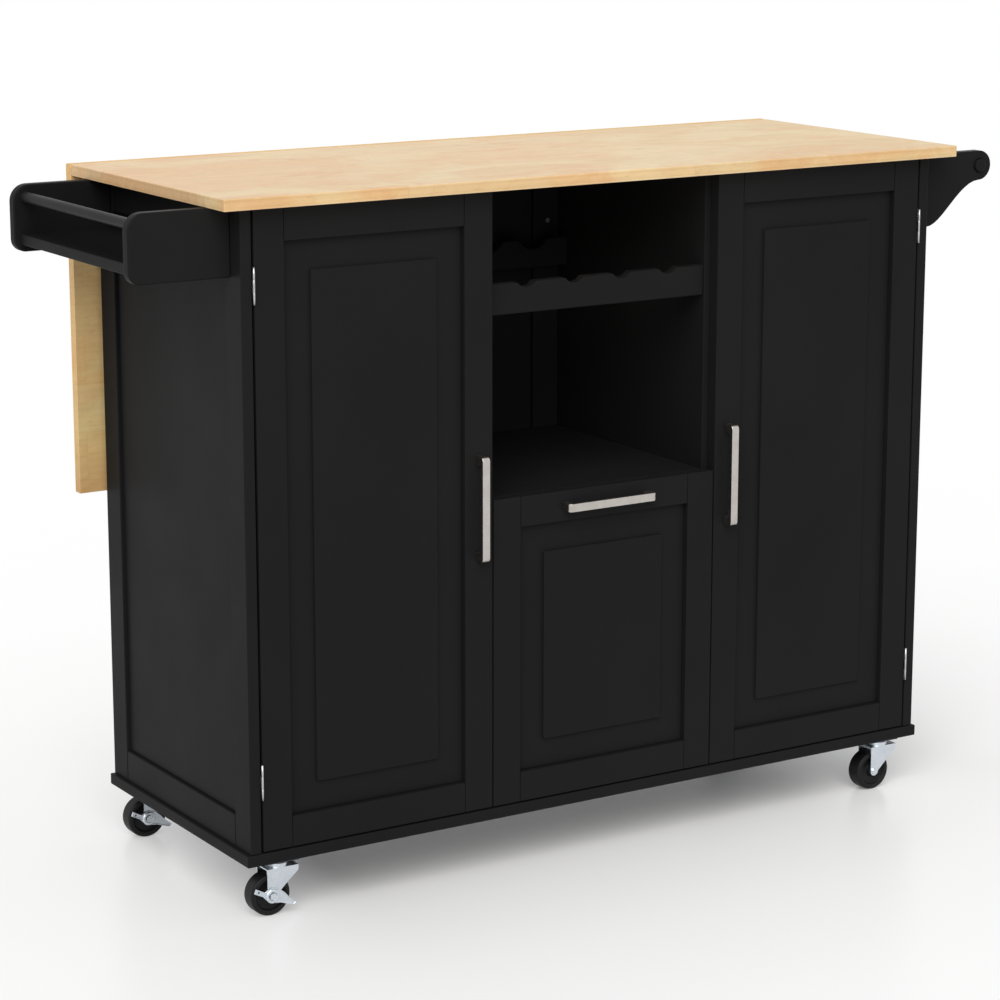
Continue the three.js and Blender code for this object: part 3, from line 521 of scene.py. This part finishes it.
def rounded_ring(bm, xs, zs, y, inset, corner, steps=5):
    """The corners of a rounded rectangle, in order, at depth y."""
    x0, x1, z0, z1 = xs[0] + inset, xs[1] - inset, zs[0] + inset, zs[1] - inset
    ring = []
    for cx, cz, start in (
        (x1 - corner, z1 - corner, 0), (x0 + corner, z1 - corner, 90),
        (x0 + corner, z0 + corner, 180), (x1 - corner, z0 + corner, 270),
    ):
        for k in range(steps + 1):
            a = math.radians(start + 90 * k / steps)
            ring.append(bm.verts.new((cx + corner * math.cos(a), y, cz + corner * math.sin(a))))
    return ring


def raised_panel(node):
    """A panel with a flat border, a moulded step and a raised field. The border's rim is a thin groove.

    Each ring of its profile is an inset from the rim, a depth behind the field and a corner's radius,
    in mm.
    """
    low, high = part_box(node)
    profile = [
        (0.0, (high - low).y / mm, 0.4), (0.0, 6.1, 0.4), (0.35, 5.0, 0.4), (0.7, 4.5, 0.5),
        (37.3, 4.5, 1.6), (37.7, 4.35, 1.8), (37.85, 3.9, 1.9), (38.0, 2.1, 2.0), (38.15, 0.8, 2.1),
        (38.4, 0.3, 2.2), (38.8, 0.08, 2.4), (39.3, 0.0, 2.6),
    ]
    bm = bmesh.new()
    rings = [
        rounded_ring(bm, (low.x, high.x), (low.z, high.z), low.y + depth * mm, inset * mm, corner * mm)
        for inset, depth, corner in profile
    ]
    joined(bm, *rings)
    bm.faces.new(rings[-1])
    bm.faces.new(rings[0][::-1])
    piece(f"{node}_moulded", bm, body_of[node], "black_paint", [node])


for front in fronts:
    node = f"{front}_frame"
    low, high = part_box(node)
    bm = bmesh.new()
    framed(bm, (low.x, high.x), (low.y, high.y), (low.z, high.z), front_stile, front_rail)
    piece(f"{node}_boards", bm, body_of[node], "black_paint", [node], bevel=0.5 * mm, segments=3)
    raised_panel(f"{front}_raised_panel")
    softened(f"{front}_handle", "satin_nickel", bevel=0.9 * mm, segments=3)

# Each side: a frame, laid out on its own axes and stood up, and a panel behind the frame's outer face.
for side, hand in (("left_side_panel", -1), ("right_side_panel", 1)):
    low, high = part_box(side)
    outer, inner = (low.x, high.x) if hand < 0 else (high.x, low.x)
    bm = bmesh.new()
    framed(
        bm, (low.y, high.y), (0, abs(outer - inner)), (low.z, high.z), side_board, side_board
    )
    for v in bm.verts:
        v.co = (outer - hand * v.co.y, v.co.x, v.co.z)
    rim = side_board + side_seam
    board(
        bm, sorted((outer - hand * panel_recess, inner)), (low.y + rim, high.y - rim),
        (low.z + rim, high.z - rim),
    )
    piece(f"{side}_boards", bm, "root", "black_paint", [side], bevel=1.4 * mm, segments=3)

# The back: four stiles, rails between them and three panels recessed on both faces.
low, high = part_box("back_panel")
back_middle, half, ys = (high.x + low.x) / 2, (high.x - low.x) / 2, (low.y, high.y)
inward, outward = middle_stile_place - middle_stile / 2, middle_stile_place + middle_stile / 2
stiles = [(-half, -half + end_stile), (-outward, -inward), (inward, outward), (half - end_stile, half)]
bm = bmesh.new()
for x0, x1 in stiles:
    board(bm, (back_middle + x0, back_middle + x1), ys, (low.z, high.z))
for (_, x0), (x1, _) in zip(stiles, stiles[1:]):
    x0, x1 = back_middle + x0, back_middle + x1
    for z0, z1 in ((low.z, low.z + back_rail), (high.z - back_rail, high.z)):
        rail(bm, (x0, x1), ys, (z0, z1), back_lap)
    beside, above = groove_width + back_seam, back_rail + back_seam
    board(
        bm, (x0 + beside, x1 - beside), (low.y + panel_recess, high.y - panel_recess),
        (low.z + above, high.z - above),
    )
piece("back_panel_boards", bm, "root", "black_paint", ["back_panel"], bevel=0.7 * mm)


# ---- Boards, racks and the top ------------------------------------------------------------------------

softened("base_board", "black_paint", bevel=1.3 * mm, segments=3)
for node in (
    "left_partition", "right_partition", "open_bay_shelf", "left_inner_shelf", "right_inner_shelf",
):
    softened(node, "black_paint", bevel=0.9 * mm)
for node in ("bottle_rail_front", "bottle_rail_rear"):
    softened(node, "black_paint", bevel=1.8 * mm, segments=3)
for node in ("spice_rack_front_cheek", "spice_rack_rear_cheek"):
    softened(node, "black_paint", bevel=2.2 * mm, segments=4)
# The rack floor takes the paint with a painted shade on its top face.
softened("spice_rack_floor", "black_paint", bevel=1.5 * mm, segments=3, material=RACK_SHADE_PAINT)
# The spice rack's rod takes the lighter paint, a painted sheen.
rod("spice_rack_rod", ease=0.6 * mm, material=ROD_SHEEN_PAINT)
for node in ("towel_rack_front_bracket", "towel_rack_rear_bracket"):
    softened(node, "black_paint", bevel=1.6 * mm, segments=3)
rod("towel_rack_rod", ease=1.6 * mm)
softened("bin_tray", "black_paint", bevel=0.8 * mm)
softened("worktop", "oak_top", bevel=1.1 * mm, segments=3)
# The leaf takes the wood with painted light and shade along its height.
softened("drop_leaf", "oak_top", bevel=1.1 * mm, segments=3, material=SHADED_LEAF_WOOD)


# ---- Metal fittings and casters -----------------------------------------------------------------------

hinge_slim = 0.66  # share of their solids' width that the door hinges are drawn in to


def slimmed(node):
    """Draws a door hinge in to its axis: a knuckle or pin all round, the plates on X alone."""
    low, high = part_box(node)
    knuckle = (high.x - low.x) / 2  # its radius
    x, y = (low.x + high.x) / 2, low.y + knuckle

    def moved(p):
        round_part = math.hypot(p.x - x, p.y - y) < knuckle + 0.1 * mm
        deep = hinge_slim if round_part else 1
        return Vector((x + (p.x - x) * hinge_slim, y + (p.y - y) * deep, p.z))

    return moved


for node in sorted(nodes):
    if node.endswith(("_side_plate", "_door_plate")):
        softened(node, "hinge_steel", bevel=0.0, moved=slimmed(node))
    elif node.startswith(("bin_slide", "leaf_hinge", "leaf_support_bracket")):
        softened(node, "hinge_steel", bevel=0.35 * mm)
    elif node.startswith("leaf_support"):
        softened(node, "black_paint", bevel=0.8 * mm)
    elif node.startswith("caster") and node.endswith("_fork"):
        softened(node, "caster_zinc", bevel=0.3 * mm)
    elif node.startswith("caster") and node.endswith("_plate"):
        # The caster plates take the darker zinc, a painted shade.
        softened(node, "caster_zinc", bevel=0.3 * mm, material=SHADED_ZINC)


def caster_wheel(node):
    """Tyre with rounded shoulders, a dished web and a hub that the axle runs through.

    Each point of its half profile is a radius and a depth behind the hub's face, in mm.
    """
    low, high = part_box(node)
    hub = (high - low).y / 2 / mm
    half = [
        (3.4, 0.0), (7.6, 0.0), (8.1, 0.4), (8.9, 4.8), (9.6, 5.4), (12.5, 5.7), (18.4, 5.4),
        (19.2, 4.8), (20.6, 1.6), (21.4, 1.1), (22.2, 1.05), (22.6, 1.4), (23.0, 1.4), (23.4, 1.05),
        (25.2, 1.2), (26.4, 1.8), (27.2, 2.9), (27.5, 4.6),
    ]
    profile = [(r * mm, (d - hub) * mm) for r, d in half]
    profile += [(r, -y) for r, y in reversed(profile)]
    bm = bmesh.new()
    turned(bm, profile, 72, (low + high) / 2, (0, 1, 0))
    piece(f"{node}_turned", bm, body_of[node], "caster_wheel", [node])


# The brake lever's outline, and the place and radius of its small hole, in mm about the axle.
ROCKER = [
    (-26, 7.5), (-14, 1.5), (-9.5, -3.5), (-4, -7.5), (4, -9.5), (12, -10.5), (21, -14), (30, -16.5),
    (34, -13.5), (22.5, -4), (17.5, 2), (9.5, 8.5), (0, 11), (-7, 9.5), (-11, 7), (-23.5, 13.5),
]
ROCKER_HOLE = (-19.5, 8.0, 1.3)


def drawn_in(points, inset):
    """A counterclockwise outline moved inwards by inset."""
    moved = []
    for before, here, after in zip(points[-1:] + points[:-1], points, points[1:] + points[:1]):
        sides = []
        for (ax, az), (bx, bz) in ((before, here), (here, after)):
            length = math.hypot(bx - ax, bz - az)
            sides.append(((az - bz) / length, (bx - ax) / length))
        (px, pz), (qx, qz) = sides
        share = inset / (1 + px * qx + pz * qz)
        moved.append((here[0] + (px + qx) * share, here[1] + (pz + qz) * share))
    return moved


def brake_lever(node, wheel):
    """A stamped rocker with a raised rim round a shallow pan, and a round boss about the axle."""
    low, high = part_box(node)
    axle = sum(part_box(wheel), Vector()) / 2
    # In mm: its thickness, its eased edge, the rim's inner edge, and the pan's outer edge and depth.
    thick, ease, rim, pan_edge, pan = (high - low).y / mm, 0.35, 1.1, 1.6, 0.55
    bm = bmesh.new()

    def ring(points, depth):
        return [bm.verts.new((axle.x + x * mm, low.y + depth * mm, axle.z + z * mm)) for x, z in points]

    hx, hz, radius = ROCKER_HOLE
    hole = [(hx + x, hz + z) for x, z in circle(radius, 16)]
    rings = [
        ring(ROCKER, thick), ring(ROCKER, ease), ring(drawn_in(ROCKER, ease), 0.0),
        ring(drawn_in(ROCKER, rim), 0.0), ring(drawn_in(ROCKER, pan_edge), pan),
    ]
    joined(bm, *rings)
    holes = [ring(hole, thick), ring(hole, pan)]
    joined(bm, *holes)
    filled(bm, rings[-1], holes[1], lambda corner: corner.xz)
    filled(bm, rings[0], holes[0], lambda corner: corner.xz)
    piece(f"{node}_stamped", bm, body_of[node], "caster_zinc", [node], bevel=0.15 * mm)

    # Each point of the boss's profile is a radius and a depth behind the lever's face, in mm.
    boss = [(5.4, 0.9), (5.4, -0.4), (6.0, -0.9), (7.4, -1.0), (8.6, -0.7), (9.3, 0.0), (9.5, 0.9)]
    bm = bmesh.new()
    turned(bm, [(r * mm, y * mm) for r, y in boss], 48, (axle.x, low.y, axle.z), (0, 1, 0))
    piece(f"{node}_boss", bm, body_of[node], "caster_zinc")


for node in sorted(nodes):
    if node.startswith("caster") and node.endswith("_wheel"):
        caster_wheel(node)
    elif node.endswith("_brake_lever"):
        brake_lever(node, node.replace("brake_lever", "wheel"))


# ---- Screws -------------------------------------------------------------------------------------------

bay_screw_height, bay_screw_reach = 797 * mm, 150 * mm  # reach from the middle of the back
hinge_screw_insets, hinge_screw_line = (8 * mm, 19 * mm), 9 * mm
handle_screw_inset = 6 * mm
hinge_face = 2.7 * mm  # below the worktop
bracket_face = 3.0 * mm  # behind the bracket's front
caster_face = 2.5 * mm  # below the caster plate's top


def corners(node, a, b, inset_a, inset_b):
    """The four corners of a node's box on two axes, drawn in by the insets."""
    low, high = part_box(node)
    return [
        (on_a, on_b)
        for on_b in (low[b] + inset_b, high[b] - inset_b)
        for on_a in (low[a] + inset_a, high[a] - inset_a)
    ]


bay_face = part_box("back_panel")[0].y
screws(
    "bay_back_screws", "root", "hinge_steel",
    [(back_middle + x, bay_face, bay_screw_height) for x in (-bay_screw_reach, bay_screw_reach)],
    (0, -1, 0), 3.2 * mm, 0.9 * mm, SCREW,
)
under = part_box("worktop")[0].z - hinge_face
for side in ("left", "right"):
    low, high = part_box(f"leaf_hinge_{side}")
    near, glow_share = hinge_screw_insets
    screws(
        f"leaf_hinge_{side}_screws", "root", "hinge_steel",
        [(x, low.y + hinge_screw_line, under)
         for x in (low.x + near, low.x + glow_share, high.x - glow_share, high.x - near)],
        (0, 0, -1), 2.8 * mm, 0.4 * mm,
    )
    bracket = f"leaf_support_bracket_{side}"
    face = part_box(bracket)[0].y + bracket_face
    screws(
        f"{bracket}_screws", "root", "hinge_steel",
        [(x, face, z) for x, z in corners(bracket, 0, 2, 8 * mm, 7 * mm)],
        (0, 1, 0), 3.0 * mm, 0.4 * mm,
    )
for caster in casters:
    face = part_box(f"{caster}_plate")[1].z - caster_face
    screws(
        f"{caster}_plate_screws", "root", "caster_zinc",
        [(x, y, face) for x, y in corners(f"{caster}_plate", 0, 1, 5 * mm, 5 * mm)],
        (0, 0, -1), 3.0 * mm, 0.7 * mm,
    )
for front in fronts:
    low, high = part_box(f"{front}_handle")
    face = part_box(f"{front}_frame")[1].y
    middle = (low + high) / 2
    if front == "bin_front":
        ends = (low.x + handle_screw_inset, high.x - handle_screw_inset)
        places = [(x, face, middle.z) for x in ends]
    else:
        ends = (low.z + handle_screw_inset, high.z - handle_screw_inset)
        places = [(middle.x, face, z) for z in ends]
    screws(
        f"{front}_handle_screws", body_of[f"{front}_frame"], "hinge_steel", places,
        (0, 1, 0), 3.6 * mm, 0.8 * mm,
    )


# ---- Floor, light and camera --------------------------------------------------------------------------


def studio_floor():
    """A pale floor that, for camera and mirror rays, glows plain white more and more with distance from
    the object: painted light.
    """
    bm = bmesh.new()
    bmesh.ops.create_grid(bm, x_segments=1, y_segments=1, size=40)
    mesh = bpy.data.meshes.new("studio_floor")
    bm.to_mesh(mesh)
    bm.free()
    floor = bpy.data.objects.new("studio_floor", mesh)
    bpy.context.scene.collection.objects.link(floor)

    s = Shader("studio_floor")
    s.finish(
        Base_Color=s.ramp(s.noise(2.0), (0.0, srgb(247, 247, 247)), (1.0, srgb(249, 249, 249))),
        Roughness=0.28, Specular_IOR_Level=0.45,
    )
    # How far a point lies outside a rectangle under the object, set off to its right, sets how much
    # painted
    # white glow it shows: more to the left and with distance, little near the object so its shadow
    # stays.
    middle, half, reach = (0.15, 0.0, 0.0), (0.5, 0.17, 0.0), 5.0
    outside = s.vector_math("ABSOLUTE", s.vector_math("SUBTRACT", s.at, middle))
    outside = s.vector_math("MAXIMUM", s.vector_math("SUBTRACT", outside, half))
    glow_share = s.ramp(
        s.math("DIVIDE", s.vector_math("LENGTH", outside), reach),
        (0.0, 0.08), (0.02, 0.28), (0.06, 0.52), (0.12, 0.74), (0.22, 0.92), (0.4, 0.98), (1.0, 1.0),
    )
    white = s.add("ShaderNodeEmission", Strength=1.0).outputs[0]
    surface = s.blend(s.math("MULTIPLY", glow_share, s.seen()), s.surface.outputs[0], white)
    s.link(surface, s.tree.nodes["Material Output"].inputs["Surface"])
    mesh.materials.append(s.material)


def studio_light():
    """A white surround, which lights the object with a soft grey, and one broad soft lamp."""
    world = bpy.data.worlds.new("studio")
    bpy.context.scene.world = world
    world.use_nodes = True
    sky = Tree(world.node_tree)
    sky.tree.nodes.clear()
    shown = sky.add("ShaderNodeBackground", Color=(1, 1, 1, 1), Strength=1.0).outputs[0]
    soft = sky.add("ShaderNodeBackground", Color=(0.985, 0.992, 1.0, 1), Strength=0.5).outputs[0]
    sky.add("ShaderNodeOutputWorld", Surface=sky.blend(sky.seen(), soft, shown))

    lamp = bpy.data.lights.new("soft_sun", "SUN")
    lamp.energy = 2.17
    lamp.angle = math.radians(50)
    lamp.color = (1.0, 0.985, 0.96)
    sun = bpy.data.objects.new("soft_sun", lamp)
    from_front_left = Vector((-0.435, -0.62, 0.65))
    sun.rotation_euler = from_front_left.to_track_quat("Z", "Y").to_euler()
    bpy.context.scene.collection.objects.link(sun)


def camera():
    """The photograph's viewpoint, looking down with no vertical shift."""
    down, right = math.radians(12.749), math.radians(31.934)
    lens = bpy.data.cameras.new("camera")
    lens.sensor_width = 36
    lens.lens = 109.64
    lens.shift_x = 0.0076
    lens.clip_end = 200
    eye = bpy.data.objects.new("camera", lens)
    eye.location = (-2.1823, -3.4296, 1.3617)
    eye.rotation_euler = (math.pi / 2 - down, 0, -right)
    bpy.context.scene.collection.objects.link(eye)
    bpy.context.scene.camera = eye


studio_floor()
studio_light()
camera()
bpy.context.scene.view_settings.view_transform = "Standard"
